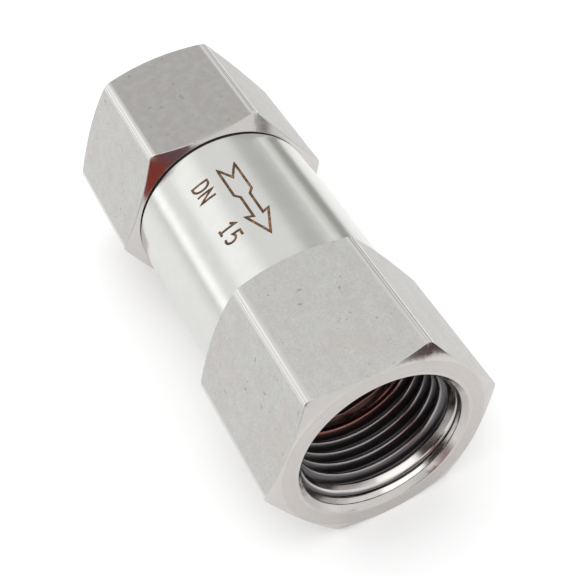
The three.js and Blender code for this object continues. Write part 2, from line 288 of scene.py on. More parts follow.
def finished(name, mesh, materials):
    """An object from a mesh: doubles merged, normals out, smooth, with its materials."""
    work = bmesh.new()
    work.from_mesh(mesh)
    bmesh.ops.remove_doubles(work, verts=work.verts, dist=1e-6)
    bmesh.ops.dissolve_degenerate(work, dist=1e-7, edges=work.edges)
    bmesh.ops.recalc_face_normals(work, faces=work.faces)
    work.to_mesh(mesh)
    work.free()
    mesh.shade_smooth()
    for material in materials:
        mesh.materials.append(material)
    piece = bpy.data.objects.new(name, mesh)
    bpy.context.scene.collection.objects.link(piece)
    normals = piece.modifiers.new("even_normals", "WEIGHTED_NORMAL")
    normals.mode = "FACE_AREA"
    normals.weight = 100
    return piece


def grid_faces(rows, columns, closed):
    """Corner numbers of the quads of a grid, row by row."""
    row = np.arange(rows if closed else rows - 1)[:, None]
    column = np.arange(columns - 1)[None, :]
    below = (row + 1) % rows
    quads = [row * columns + column, row * columns + column + 1,
             below * columns + column + 1, below * columns + column]
    return np.stack(np.broadcast_arrays(*quads), axis=2).reshape(-1, 4)


def turned_piece(name, angles, bands, materials):
    """A piece from bands of rows, (material number, rows). The rows close on themselves round a
    hole, or start and end on the axis."""
    rows = np.concatenate([band for _, band in bands])
    zones = np.concatenate([np.full(len(band), zone) for zone, band in bands])
    closed = rows[0, 0, 1] > 0
    along, radius = rows[..., 0], rows[..., 1]
    corners = np.stack([along, radius * np.cos(angles), radius * np.sin(angles)], axis=2)
    faces = grid_faces(len(rows), len(angles), closed)
    mesh = bpy.data.meshes.new(name)
    mesh.from_pydata((corners.reshape(-1, 3) * MM).tolist(), [], faces.tolist())
    used = zones if closed else zones[1:]
    mesh.polygons.foreach_set("material_index", np.repeat(used, len(angles) - 1).astype(np.int32))
    return finished(name, mesh, materials)


def plain_turned(name, corners, material, columns=96):
    """A turned piece of one material from its rounded half section."""
    angles = even_angles(columns)
    return turned_piece(name, angles, [(0, section(angles, corners))], [material])


def flat_plate(name, outlines, start, end, bevel, materials):
    """A plate across the flow axis from outlines of (y, z) points, the first the outer one and the
    others holes, with bevelled edges."""
    curve = bpy.data.curves.new(name, "CURVE")
    curve.dimensions = "2D"
    curve.fill_mode = "BOTH"
    curve.extrude = ((end - start) / 2 - bevel) * MM
    curve.bevel_depth = bevel * MM
    curve.bevel_resolution = 1
    curve.offset = -bevel * MM
    for outline in outlines:
        spline = curve.splines.new("POLY")
        spline.points.add(len(outline) - 1)
        for point, (y, z) in zip(spline.points, outline):
            point.co = (y * MM, z * MM, 0, 1)
        spline.use_cyclic_u = True
    drawn = bpy.data.objects.new(name, curve)
    bpy.context.scene.collection.objects.link(drawn)
    bpy.context.view_layer.update()
    shown = drawn.evaluated_get(bpy.context.evaluated_depsgraph_get())
    mesh = bpy.data.meshes.new_from_object(shown)
    bpy.data.objects.remove(drawn)
    mesh.transform(Matrix((
        (0, 0, 1, (start + end) / 2 * MM),
        (1, 0, 0, 0),
        (0, 1, 0, 0),
        (0, 0, 0, 1),
    )))
    mesh.materials.clear()
    return finished(name, mesh, materials)


def joined(piece, other):
    """The union of two pieces, kept in the first. The second goes."""
    join = piece.modifiers.new("join", "BOOLEAN")
    join.operation = "UNION"
    join.solver = "EXACT"
    join.object = other
    bpy.context.view_layer.update()
    shown = piece.evaluated_get(bpy.context.evaluated_depsgraph_get())
    mesh = bpy.data.meshes.new_from_object(shown)
    piece.modifiers.remove(join)
    piece.data = mesh
    mesh.shade_smooth()
    bpy.data.objects.remove(other)
    return piece


def circle(radius, count, centre=(0, 0)):
    """Points of a circle in the plane across the flow axis."""
    angles = even_angles(count)[:-1]
    return [(centre[0] + radius * math.cos(a), centre[1] + radius * math.sin(a)) for a in angles]


def stands_for(piece, body, node):
    """A finished piece takes its place: it rides on a body and is shown instead of a CAD node."""
    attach(piece, body)
    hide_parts(node)
    return piece


# ---- Materials ------------------------------------------------------------------------------

def add_node(tree, kind, output, values, **settings):
    """An output of a new node with settings and input values, which may be other outputs."""
    node = tree.nodes.new(kind)
    for key, value in settings.items():
        setattr(node, key, value)
    for key, value in values.items():
        if isinstance(value, bpy.types.NodeSocket):
            tree.links.new(value, node.inputs[key])
        else:
            node.inputs[key].default_value = value
    return node.outputs[output]


class Shader:
    """A material and short ways to add nodes to it. Positions in it are in millimetres."""

    def __init__(self, name, metallic, roughness):
        self.material = bpy.data.materials.new(name)
        self.material.use_nodes = True
        self.tree = self.material.node_tree
        self.tree.nodes.clear()
        self.surface = self.tree.nodes.new("ShaderNodeBsdfPrincipled")
        self.surface.inputs["Metallic"].default_value = metallic
        self.surface.inputs["Roughness"].default_value = roughness
        output = self.tree.nodes.new("ShaderNodeOutputMaterial")
        self.tree.links.new(self.surface.outputs[0], output.inputs["Surface"])
        place = self.tree.nodes.new("ShaderNodeTexCoord").outputs["Object"]
        self.position = self.stretched(place, (1 / MM, 1 / MM, 1 / MM))
        parts = self.tree.nodes.new("ShaderNodeSeparateXYZ")
        self.tree.links.new(self.position, parts.inputs[0])
        self.x, self.y, self.z = parts.outputs
        squares = self.math("ADD", self.math("POWER", self.y, 2.0), self.math("POWER", self.z, 2.0))
        self.radius = self.math("SQRT", squares)

    def add(self, kind, output, values, **settings):
        return add_node(self.tree, kind, output, values, **settings)

    def stretched(self, vector, scale):
        return self.add("ShaderNodeVectorMath", 0, {0: vector, 1: scale}, operation="MULTIPLY")

    def math(self, operation, a, b=0.0):
        return self.add("ShaderNodeMath", 0, {0: a, 1: b}, operation=operation)

    def noise(self, vector, scale, detail, rough):
        values = {"Vector": vector, "Scale": scale, "Detail": detail, "Roughness": rough}
        return self.add("ShaderNodeTexNoise", "Fac", values)

    def remap(self, value, low, high, to_low, to_high):
        values = {"Value": value, 1: low, 2: high, 3: to_low, 4: to_high}
        return self.add("ShaderNodeMapRange", 0, values, clamp=True)

    def blend(self, factor, first, second):
        values = {0: factor, 6: (*first, 1) if isinstance(first, tuple) else first,
                  7: (*second, 1) if isinstance(second, tuple) else second}
        return self.add("ShaderNodeMix", 2, values, data_type="RGBA")

    def mixed(self, factor, first, second):
        """A number between two others."""
        return self.add("ShaderNodeMix", 0, {0: factor, 2: first, 3: second}, data_type="FLOAT")

    def bump(self, height, distance, strength):
        values = {"Height": height, "Distance": distance * MM, "Strength": strength}
        return self.add("ShaderNodeBump", 0, values)

    def turning(self, scale):
        """Noise that runs round the flow axis in fine lines, as a lathe tool leaves them."""
        drift = 0.15
        side = self.math("MULTIPLY", self.math("DIVIDE", self.y, self.radius), drift / scale)
        line = self.add("ShaderNodeCombineXYZ", 0, {0: self.x, 1: self.radius, 2: side})
        return self.noise(line, scale, 2.0, 0.6)

    def set(self, socket, value):
        self.tree.links.new(value, self.surface.inputs[socket])


def satin_steel():
    """Blasted hexagon flats: even grey, faint warm mottling, grain and a few small pits. The cap's top
    flat is made darker as painted shade, and the rounded corners are rubbed bright."""
    shader = Shader("satin_steel", 1.0, 0.42)
    tangent_r = HALF_FLATS / math.cos(math.pi / 6 - hexagon_tangent(HALF_FLATS, CORNER_ROUND))
    corner = shader.remap(shader.radius, tangent_r - 0.14, tangent_r, 0, 1)
    mottle = shader.noise(shader.position, 0.3, 4.0, 0.65)
    patches = shader.remap(mottle, 0.4, 0.66, 0, 1)
    tone = shader.blend(patches, (0.56, 0.568, 0.55), (0.55, 0.513, 0.495))
    # Painted shade: the top flat of the inlet cap is blended darker towards the inlet.
    top = shader.remap(shader.z, HALF_FLATS - 0.4, HALF_FLATS - 0.1, 0, 1)
    top_flat_shade = shader.math("MULTIPLY", top, shader.remap(shader.x, CAP_FACE + 1, CAP_FACE - 1, 0, 0.8))
    tone = shader.blend(top_flat_shade, tone, (0.32, 0.30, 0.285))
    cloud = shader.noise(shader.stretched(shader.position, (1.0, -1.0, 1.0)), 0.75, 3.0, 0.6)
    tone = shader.blend(shader.remap(cloud, 0.42, 0.7, 0, 0.5), tone, (0.48, 0.475, 0.455))
    grain = shader.noise(shader.position, 3.2, 3.0, 0.75)
    tone = shader.blend(shader.remap(grain, 0.32, 0.68, 0, 0.6), tone, (0.42, 0.415, 0.40))
    pit = shader.noise(shader.position, 1.3, 1.0, 0.4)
    tone = shader.blend(shader.remap(pit, 0.715, 0.785, 0, 0.6), tone, (0.24, 0.23, 0.22))
    tone = shader.blend(corner, tone, (0.62, 0.61, 0.60))
    shader.set("Base Color", tone)
    rough = shader.remap(grain, 0.3, 0.7, 0.34, 0.46)
    shader.set("Roughness", shader.mixed(corner, rough, 0.13))
    drawn = shader.noise(shader.stretched(shader.position, (0.5, 9.0, 9.0)), 1.0, 2.0, 0.5)
    height = shader.math("ADD", grain, shader.math("MULTIPLY", drawn, 0.35))
    height = shader.math("MULTIPLY", height, shader.math("SUBTRACT", 1.0, corner))
    shader.set("Normal", shader.bump(height, 0.012, 0.6))
    return shader.material


def turned_steel(name, base, roughness, line_depth):
    """Steel with fine lines round the flow axis, from the lathe."""
    shader = Shader(name, 1.0, roughness)
    lines = shader.turning(9.0)
    fine = shader.turning(30.0)
    dark = tuple(0.86 * c for c in base)
    cloud = shader.noise(shader.position, 0.35, 3.0, 0.6)
    tone = shader.blend(shader.remap(lines, 0.3, 0.7, 0, 0.35), base, dark)
    tone = shader.blend(shader.remap(cloud, 0.4, 0.7, 0, 0.3), tone, dark)
    shader.set("Base Color", tone)
    spread = 0.06
    shader.set("Roughness", shader.remap(fine, 0.3, 0.7, roughness - spread, roughness + spread))
    height = shader.math("ADD", lines, shader.math("MULTIPLY", fine, 0.5))
    shader.set("Normal", shader.bump(height, line_depth, 0.5))
    return shader.material


def thread_steel():
    """Pipe thread as cut: bright crests and lead-in cone, grooves and deeper turns darkened with painted
    shade, and a painted red-brown reflection on the bore behind the last turn."""
    shader = Shader("thread_steel", 1.0, 0.2)
    depth = shader.math("SUBTRACT", OUTLET_FACE, shader.math("ABSOLUTE", shader.x))
    cone = shader.math("SUBTRACT", lead_in(0), shader.math("MULTIPLY", depth, MOUTH["lead_in"]))
    uncut = shader.math("MAXIMUM", cone, PIPE["crest"])
    below = shader.math("SUBTRACT", shader.radius, uncut)
    lines = shader.turning(14.0)
    bright = shader.blend(shader.remap(lines, 0.3, 0.7, 0, 0.4), (0.66, 0.64, 0.62), (0.52, 0.50, 0.48))
    # Painted shade: the thread's steel is made darker deeper inside the port.
    deep_shaded = shader.blend(shader.remap(depth, 2.4, 3.6, 0, 1), bright, (0.40, 0.38, 0.38))
    # Painted shade: the grooves below the crest line are painted near black.
    dull = shader.blend(shader.remap(lines, 0.3, 0.7, 0, 1), (0.17, 0.162, 0.168), (0.10, 0.094, 0.098))
    tone = shader.blend(shader.remap(below, 0.02, 0.2, 0, 1), deep_shaded, dull)
    cloud = shader.noise(shader.position, 0.3, 2.0, 0.5)
    # Painted reflection: the bore behind the last turn is painted red-brown, as a mirrored red thing in
    # front.
    red_reflection = shader.math("MULTIPLY", shader.remap(depth, 10.9, 11.6, 0, 1),
                         shader.remap(cloud, 0.35, 0.5, 0.3, 1))
    tone = shader.blend(red_reflection, tone, (0.24, 0.10, 0.085))
    shader.set("Base Color", tone)
    shader.set("Roughness", shader.remap(below, 0.03, 0.4, 0.17, 0.34))
    shader.set("Normal", shader.bump(lines, 0.004, 0.5))
    return shader.material


def spring_wire():
    """Drawn wire and pressed strip: semi-bright, with short scratches."""
    shader = Shader("spring_wire", 1.0, 0.3)
    scratch = shader.noise(shader.stretched(shader.position, (6.0, 1.5, 1.5)), 1.0, 4.0, 0.6)
    tone = shader.blend(shader.remap(scratch, 0.35, 0.65, 0, 0.5), (0.64, 0.64, 0.63), (0.45, 0.45, 0.45))
    shader.set("Base Color", tone)
    shader.set("Roughness", shader.remap(scratch, 0.3, 0.7, 0.24, 0.38))
    shader.set("Normal", shader.bump(scratch, 0.01, 0.4))
    return shader.material


def ptfe():
    """White low-friction plastic with faint tool lines."""
    shader = Shader("ptfe", 0.0, 0.45)
    cloud = shader.noise(shader.position, 0.8, 3.0, 0.5)
    shader.set("Base Color", shader.blend(cloud, (0.86, 0.85, 0.81), (0.79, 0.77, 0.72)))
    shader.set("Normal", shader.bump(shader.turning(7.0), 0.01, 0.4))
    return shader.material


def rubber():
    """Black moulded rubber: dull, with a fine grain and dusty high spots."""
    shader = Shader("rubber", 0.0, 0.65)
    grain = shader.noise(shader.position, 4.0, 4.0, 0.6)
    shader.set("Base Color", shader.blend(grain, (0.018, 0.017, 0.017), (0.045, 0.043, 0.041)))
    shader.set("Roughness", shader.remap(grain, 0.3, 0.7, 0.55, 0.75))
    shader.set("Normal", shader.bump(grain, 0.02, 0.5))
    return shader.material


def laser_mark():
    """Oxide left by a marking laser: dark brown that thins to gold."""
    shader = Shader("laser_mark", 0.3, 0.5)
    cloud = shader.noise(shader.position, 1.1, 3.0, 0.6)
    dots = shader.noise(shader.position, 9.0, 1.0, 0.5)
    tone = shader.blend(shader.remap(cloud, 0.48, 0.68, 0, 1), (0.085, 0.036, 0.015), (0.33, 0.17, 0.06))
    tone = shader.blend(shader.remap(dots, 0.55, 0.75, 0, 0.6), tone, (0.045, 0.022, 0.012))
    shader.set("Base Color", tone)
    shader.set("Normal", shader.bump(dots, 0.01, 0.5))
    return shader.material


FLAT_STEEL = satin_steel()
BARREL_STEEL = turned_steel("barrel_steel", (0.645, 0.648, 0.628), 0.19, 0.005)
BRIGHT_STEEL = turned_steel("bright_steel", (0.57, 0.55, 0.535), 0.15, 0.004)
THREAD_STEEL = thread_steel()
FACE_STEEL = turned_steel("face_steel", (0.56, 0.53, 0.505), 0.33, 0.006)
INNER_STEEL = turned_steel("inner_steel", (0.56, 0.55, 0.54), 0.3, 0.008)
# Painted reflection: the guide, seen deep in the port, is coloured red-brown like the red thing mirrored
# there.
GUIDE_STEEL = turned_steel("guide_steel", (0.34, 0.19, 0.17), 0.42, 0.008)
SPRING_STEEL = spring_wire()
PTFE = ptfe()
RUBBER = rubber()
MARK = laser_mark()

HOUSING_STEELS = [FLAT_STEEL, BARREL_STEEL, BRIGHT_STEEL, THREAD_STEEL, FACE_STEEL, INNER_STEEL]
FLATS, BARREL, BRIGHT, THREAD, FACE, INNER = range(len(HOUSING_STEELS))


# ---- Housing --------------------------------------------------------------------------------

def bar_angles():
    """Angles for the two big hexagons."""
    return hexagon_angles(HALF_FLATS, CORNER_ROUND, 5, 17)


def chamfer_end(x, flat_r, slope, bar_r):
    """Where the cone of a chamfered bar end meets the bar. Slope is signed, along per radius."""
    return x - (bar_r - flat_r) * slope


def valve_body():
    """Outlet hexagon, barrel and chamber in one piece."""
    angles = bar_angles()
    bar_r = hexagon_radius(angles, HALF_FLATS, CORNER_ROUND)
    front_r, front_slope = 13.35, 0.42
    rear_slope = -0.58
    barrel_from = BARREL_FRONT - 1
    joint_end = JOINT_BORE_END - 0.6
    groove = {"from": CLIP_FROM - 0.1, "to": CLIP_TO, "radius": CLIP_R + 0.1}
    face = section(angles, [(OUTLET_FACE, FACE_HOLE_R, 0)])
    chamfer = section(angles, [
        (OUTLET_FACE, front_r - 0.001, 0),
        (OUTLET_FACE, front_r, 0.06),
        (chamfer_end(OUTLET_FACE, front_r, front_slope, bar_r), bar_r, 0.05),
        (chamfer_end(BARREL_FRONT, BARREL_R, rear_slope, bar_r), bar_r, 0.12),
        (BARREL_FRONT, BARREL_R, 0.1),
        (barrel_from, BARREL_R, 0),
    ])
    # Rows of the chamfer: 1 at the start, 4 at each rounded corner, 1 at the end.
    front_rows, hex_rows = chamfer[1:7], chamfer[7:12]
    rear_rows, barrel_start = chamfer[12:-2], chamfer[-2:]
    barrel = section(angles, [
        (barrel_from, BARREL_R, 0),
        (JOINT_FACE, BARREL_R, 0.2),
        (JOINT_FACE, BARREL_END_R, 0),
    ], steps=5)[1:]
    joint_face = section(angles, [
        (JOINT_FACE, BARREL_END_R, 0),
        (JOINT_FACE, JOINT_FACE_R, 0),
        (JOINT_START, JOINT_MOUTH_R, 0),
    ])
    joint = thread_rows(angles, JOINT_START, joint_end, JOINT["pitch"], 0,
                        JOINT["bore_crest"], JOINT["bore_root"])
    chamber = section(angles, [
        (joint_end, JOINT_MOUTH_R, 0),
        (JOINT_BORE_END, JOINT_MOUTH_R, 0.1),
        (JOINT_BORE_END, CHAMBER_R, 0.2),
        (groove["from"], CHAMBER_R, 0.08),
        (groove["from"], groove["radius"], 0.08),
        (groove["to"], groove["radius"], 0.08),
        (groove["to"], CHAMBER_R, 0.08),
        (LEDGE, CHAMBER_R, 0.15),
        (LEDGE, PIPE["crest"], 0.12),
        (LEDGE + 1, PIPE["crest"], 0),
    ])
    bands = [
        (FACE, face), (BRIGHT, front_rows), (FLATS, hex_rows), (BRIGHT, rear_rows),
        (BARREL, barrel_start), (BARREL, barrel), (INNER, joint_face), (INNER, joint), (INNER, chamber),
        (THREAD, port_thread(angles, OUTLET_FACE, -1)),
        (BRIGHT, mouth(angles, OUTLET_FACE, -1)[1:]),
    ]
    return turned_piece("valve_body_shell", angles, bands, HOUSING_STEELS)


def inlet_cap():
    """Inlet hexagon and the spigot that screws into the barrel and ends in the seat."""
    angles = bar_angles()
    bar_r = hexagon_radius(angles, HALF_FLATS, CORNER_ROUND)
    rear_r, rear_slope = 13.25, -0.62
    front_r, front_slope = 13.05, 0.55
    shoulder_r, spigot_r, spigot_end_r = 11.5, 11.0, 10.4
    joint_start, joint_end = CAP_FACE + 1.2, SPIGOT_FACE - 0.8
    port_end = INLET_FACE + PORT_DEPTH
    outside = section(angles, [
        (INLET_FACE, FACE_HOLE_R, 0),
        (INLET_FACE, rear_r, 0.06),
        (chamfer_end(INLET_FACE, rear_r, rear_slope, bar_r), bar_r, 0.12),
        (chamfer_end(CAP_FACE, front_r, front_slope, bar_r), bar_r, 0.12),
        (CAP_FACE, front_r, 0.06),
        (CAP_FACE, shoulder_r, 0),
    ])
    rear_rows, hex_rows, front_rows = outside[1:7], outside[7:12], outside[12:]
    undercut = section(angles, [(CAP_FACE, JOINT["root"], 0), (joint_start, JOINT["root"], 0)])
    joint = thread_rows(angles, joint_start, joint_end, JOINT["pitch"], JOINT["pitch"] / 2,
                        JOINT["crest"], JOINT["root"])
    seat = section(angles, [
        (joint_end, spigot_r, 0),
        (SPIGOT_FACE - 0.6, spigot_r, 0),
        (SPIGOT_FACE, spigot_end_r, 0.1),
        (SPIGOT_FACE, SEAT_R + SEAT_LIP + 0.6, 0.1),
        (SEAT_FACE, SEAT_R + SEAT_LIP, 0.15),
        (SEAT_FACE, SEAT_R, 0.15),
        (port_end + 2.2, SEAT_R, 0.3),
        (port_end, PIPE["crest"], 0.2),
        (port_end - 1, PIPE["crest"], 0),
    ])
    bands = [
        (FACE, outside[:1]), (BRIGHT, rear_rows), (FLATS, hex_rows), (BRIGHT, front_rows),
        (INNER, undercut), (INNER, joint), (INNER, seat),
        (THREAD, port_thread(angles, INLET_FACE, 1)),
        (BRIGHT, mouth(angles, INLET_FACE, 1)[1:]),
    ]
    return turned_piece("inlet_cap_shell", angles, bands, HOUSING_STEELS)


def body_gasket():
    """Flat ring squeezed between body and cap, its edge bulging a little."""
    return plain_turned("body_gasket_ring", [
        (CAP_FACE, JOINT_FACE_R, 0.1),
        (CAP_FACE, GASKET_R, 0.2),
        (JOINT_FACE, GASKET_R, 0.2),
        (JOINT_FACE, JOINT_FACE_R, 0.1),
    ], RUBBER, 120)


def window_outline(middle):
    """Outline of an opening of the guide: between two radii and two spokes, its corners rounded."""
    inner_r, outer_r, spoke, sharpness = 5.5, 9.1, 2.2, 8
    outline = []
    for t in even_angles(72)[:-1]:
        across = math.copysign(abs(math.cos(t)) ** (2 / sharpness), math.cos(t))
        out = math.copysign(abs(math.sin(t)) ** (2 / sharpness), math.sin(t))
        radius = (outer_r + inner_r) / 2 + out * (outer_r - inner_r) / 2
        half = math.pi / 3 - math.asin(spoke / 2 / radius)
        angle = middle + across * half
        outline.append((radius * math.cos(angle), radius * math.sin(angle)))
    return outline


def stem_guide():
    """Three-spoked plate across the chamber, with the boss that holds the bush."""
    windows = [window_outline(-math.pi / 2 + i * TURN / 3) for i in range(3)]
    plate_hole_r = 3.5
    outlines = [circle(GUIDE_R, 96), circle(plate_hole_r, 48), *windows]
    plate = flat_plate("stem_guide_plate", outlines, LEDGE - GUIDE_THICK, LEDGE, 0.15, [GUIDE_STEEL])
    boss = plain_turned("stem_guide_boss", [
        (GUIDE_BOSS_END, BUSH_R + 0.1, 0.1),
        (GUIDE_BOSS_END, GUIDE_BOSS_R, 0.3),
        (LEDGE - GUIDE_THICK / 2, GUIDE_BOSS_R, 0.05),
        (LEDGE - GUIDE_THICK / 2, BUSH_R + 0.1, 0.05),
    ], GUIDE_STEEL, 64)
    return joined(plate, boss)


def guide_bush():
    """Plain bush with a flange on the outlet side."""
    inner_r = STEM_R + 0.06
    return plain_turned("guide_bush_sleeve", [
        (BUSH_FROM, inner_r, 0.12),
        (BUSH_FROM, BUSH_R, 0.12),
        (LEDGE, BUSH_R, 0),
        (LEDGE, FLANGE_R, 0.1),
        (BUSH_TO, FLANGE_R, 0.15),
        (BUSH_TO, inner_r, 0.15),
    ], PTFE, 64)


def guide_ring():
    """Snap ring with two drilled ears."""
    inner_r = CLIP_R - 1.5
    ear_r, hole_r, gap = 1.1, 0.45, math.radians(14)
    start = -math.pi / 2 + gap
    end = start + TURN - 2 * gap
    lugs = [(angle, ((inner_r - 0.3) * math.cos(angle), (inner_r - 0.3) * math.sin(angle)))
            for angle in (start + 0.06, end - 0.06)]
    outer = [(CLIP_R * math.cos(a), CLIP_R * math.sin(a)) for a in np.linspace(start, end, 90)]
    last_ear = ear_arc(lugs[1], ear_r, 0.5, -3.6)
    inner = [(inner_r * math.cos(a), inner_r * math.sin(a))
             for a in np.linspace(end - 0.2, start + 0.2, 84)]
    first_ear = ear_arc(lugs[0], ear_r, 3.6, -0.5)
    outline = outer + last_ear + inner + first_ear
    holes = [circle(hole_r, 20, centre) for _, centre in lugs]
    return flat_plate("guide_ring_clip", [outline, *holes], CLIP_FROM, CLIP_TO, 0.08, [SPRING_STEEL])


def ear_arc(lug, radius, turn_from, turn_to):
    """Points round a lug of the snap ring, between two angles from its outward direction."""
    angle, (y, z) = lug
    return [(y + radius * math.cos(angle + t), z + radius * math.sin(angle + t))
            for t in np.linspace(turn_from, turn_to, 20)]


# ---- Poppet ---------------------------------------------------------------------------------

def poppet_disc():
    """Disc with a recess for the seal on its inlet side."""
    seal_wall = SEAL_R + 0.1
    return plain_turned("poppet_disc_body", [
        (SEAL_BACK, HOLE_R, 0.1),
        (SEAL_BACK, seal_wall, 0.1),
        (DISC_RIM, seal_wall, 0.08),
        (DISC_RIM, DISC_R, 0.12),
        (DISC_BACK, DISC_R, 0.4),
        (DISC_BACK, HOLE_R, 0.1),
    ], INNER_STEEL)


def seat_seal():
    """Rubber disc that closes the seat."""
    return plain_turned("seat_seal_disc", [
        (SEAT_FACE, HOLE_R + 0.1, 0.1),
        (SEAT_FACE, SEAL_R, 0.2),
        (SEAL_BACK, SEAL_R, 0.2),
        (SEAL_BACK, HOLE_R + 0.1, 0.1),
    ], RUBBER)


def seal_washer():
    """Steel washer that clamps the seal's middle."""
    return plain_turned("seal_washer_disc", [
        (WASHER_FACE, HOLE_R, 0.12),
        (WASHER_FACE, WASHER_R, 0.3),
        (SEAT_FACE, WASHER_R, 0.1),
        (SEAT_FACE, HOLE_R, 0.1),
    ], INNER_STEEL)


def lock_washer():
    """Split spring washer under the nut, its cut slanted."""
    outer_split, inner_split = (0.17, -0.07), (0.25, -0.15)
    outer = [(LOCK_R * math.cos(a), LOCK_R * math.sin(a))
             for a in np.linspace(outer_split[0], TURN + outer_split[1], 60)]
    inner = [(HOLE_R * math.cos(a), HOLE_R * math.sin(a))
             for a in np.linspace(TURN + inner_split[1], inner_split[0], 48)]
    return flat_plate("lock_washer_ring", [outer + inner], LOCK_FACE, WASHER_FACE, 0.08, [SPRING_STEEL])


def stem_nut():
    """Hexagon nut, chamfered, with its thread."""
    corner = 0.15
    angles = hexagon_angles(NUT_HALF_FLATS, corner, 3, 12)
    bar_r = hexagon_radius(angles, NUT_HALF_FLATS, corner)
    face_r, slope = NUT_HALF_FLATS - 0.1, 0.5
    bore_from, bore_to = LOCK_FACE - 0.35, NUT_FACE + 0.35
    bore_r, mouth_r = STEM["bore_crest"] + 0.1, STEM["bore_root"] + 0.15
    outside = section(angles, [
        (bore_to, bore_r, 0),
        (NUT_FACE, mouth_r, 0.06),
        (NUT_FACE, face_r, 0.06),
        (chamfer_end(NUT_FACE, face_r, -slope, bar_r), bar_r, 0.06),
        (LOCK_FACE, bar_r, 0.06),
        (LOCK_FACE, mouth_r, 0.06),
        (bore_from, bore_r, 0),
    ])
    bore = thread_rows(angles, bore_from, bore_to, STEM["pitch"], 0,
                       STEM["bore_crest"], STEM["bore_root"])
    return turned_piece("stem_nut_hex", angles, [(0, outside), (0, bore)], [INNER_STEEL])


def poppet_stem():
    """Stem: threaded tail, collar, shank with its stop shoulder, and the end that the bush guides."""
    angles = even_angles(64)
    thread_start, thread_end = STEM_TAIL + 0.35, WASHER_FACE - 0.3
    collar_end = DISC_BACK + 3.3
    edge = 0.3
    tail = section(angles, [
        (STEM_TAIL, 0, 0),
        (STEM_TAIL, STEM["root"] - 0.05, 0.1),
        (thread_start, STEM["crest"] - 0.1, 0),
    ])
    thread = thread_rows(angles, thread_start, thread_end, STEM["pitch"], STEM["pitch"] / 2,
                         STEM["crest"], STEM["root"])
    shaft = section(angles, [
        (thread_end, STEM_R - 0.05, 0),
        (thread_end + 0.1, STEM_R, 0),
        (DISC_BACK, STEM_R, 0),
        (DISC_BACK, COLLAR_R, 0.12),
        (collar_end, COLLAR_R, edge),
        (collar_end, SHANK_R, 0.15),
        (SHANK_END, SHANK_R, edge),
        (SHANK_END, STEM_R, 0.1),
        (STEM_END, STEM_R, edge),
        (STEM_END, 0, 0),
    ])
    return turned_piece("poppet_stem_shaft", angles, [(0, tail), (0, thread), (0, shaft)], [INNER_STEEL])


def spring_point(turn, turns, end_turns, mean_r):
    """A point of the wire's middle line after some turns: close-wound ends, even rise between."""
    start = SPRING_FROM + WIRE_R
    end = SPRING_TO - WIRE_R
    closed = 2.2 * WIRE_R
    rise = end - start - 2 * closed
    along = start + closed * min(turn / end_turns, 1)
    along += rise * min(max((turn - end_turns) / (turns - 2 * end_turns), 0), 1)
    along += closed * max((turn - turns + end_turns) / end_turns, 0)
    angle = turn * TURN
    return np.array([along, mean_r * math.cos(angle), mean_r * math.sin(angle)])


def return_spring():
    """Coil spring of round wire with closed ends."""
    turns, end_turns, sides, steps_per_turn = 8, 0.9, 12, 40
    mean_r = SPRING_R - WIRE_R
    steps = turns * steps_per_turn
    path = np.array([spring_point(i / steps_per_turn, turns, end_turns, mean_r)
                     for i in range(steps + 1)])
    forward = np.gradient(path, axis=0)
    forward /= np.linalg.norm(forward, axis=1, keepdims=True)
    outward = path * np.array([0, 1, 1]) / mean_r
    across = np.cross(forward, outward)
    wire_r = np.full(steps + 1, WIRE_R)
    path = np.concatenate([path[:1], path[:1], path, path[-1:], path[-1:]])
    wire_r = np.concatenate([[0, WIRE_R * 0.85], wire_r, [WIRE_R * 0.85, 0]])
    outward = np.concatenate([outward[:1], outward[:1], outward, outward[-1:], outward[-1:]])
    across = np.concatenate([across[:1], across[:1], across, across[-1:], across[-1:]])
    tip = 0.08
    path[:2] -= forward[0] * tip
    path[-2:] += forward[-1] * tip
    round_wire = even_angles(sides)
    rings = (path[:, None] + wire_r[:, None, None] * (
        np.cos(round_wire)[None, :, None] * outward[:, None]
        + np.sin(round_wire)[None, :, None] * across[:, None]))
    mesh = bpy.data.meshes.new("return_spring_coil")
    faces = grid_faces(len(rings), sides + 1, False)
    mesh.from_pydata((rings.reshape(-1, 3) * MM).tolist(), [], faces.tolist())
    return finished("return_spring_coil", mesh, [SPRING_STEEL])


# ---- Marks on the barrel --------------------------------------------------------------------

MARK_WIDTH = 0.36
MARK_PROUD = 0.012
MARK_SUNK = 0.03


def on_barrel(along, across, radius):
    """A point on the barrel's surface, across measured round it from the top line towards +Y."""
    angle = math.pi / 2 - across / BARREL_R
    return (along * MM, radius * math.cos(angle) * MM, radius * math.sin(angle) * MM)


def dense(points):
    """The same polyline with its points close together."""
    step = 0.4
    out = [np.array(points[0], float)]
    for point in points[1:]:
        last = out[-1]
        gap = np.array(point, float) - last
        count = max(1, math.ceil(np.linalg.norm(gap) / step))
        out += [last + gap * (i + 1) / count for i in range(count)]
    return np.array(out)


def ribbon(points, closed):
    """Both edges of a stroke along a polyline, mitred at its corners."""
    line = dense([*points, points[0]] if closed else points)
    if closed:
        line = line[:-1]
    before = line - np.roll(line, 1, axis=0)
    after = np.roll(line, -1, axis=0) - line
    if not closed:
        before[0] = after[0]
        after[-1] = before[-1]
    before /= np.linalg.norm(before, axis=1, keepdims=True)
    after /= np.linalg.norm(after, axis=1, keepdims=True)
    sideways = np.stack([-before[:, 1] - after[:, 1], before[:, 0] + after[:, 0]], axis=1)
    sideways /= np.linalg.norm(sideways, axis=1, keepdims=True)
    normal = np.stack([-after[:, 1], after[:, 0]], axis=1)
    stretch = 1 / np.maximum((sideways * normal).sum(axis=1, keepdims=True), 0.45)
    offset = sideways * stretch * MARK_WIDTH / 2
    return line + offset, line - offset


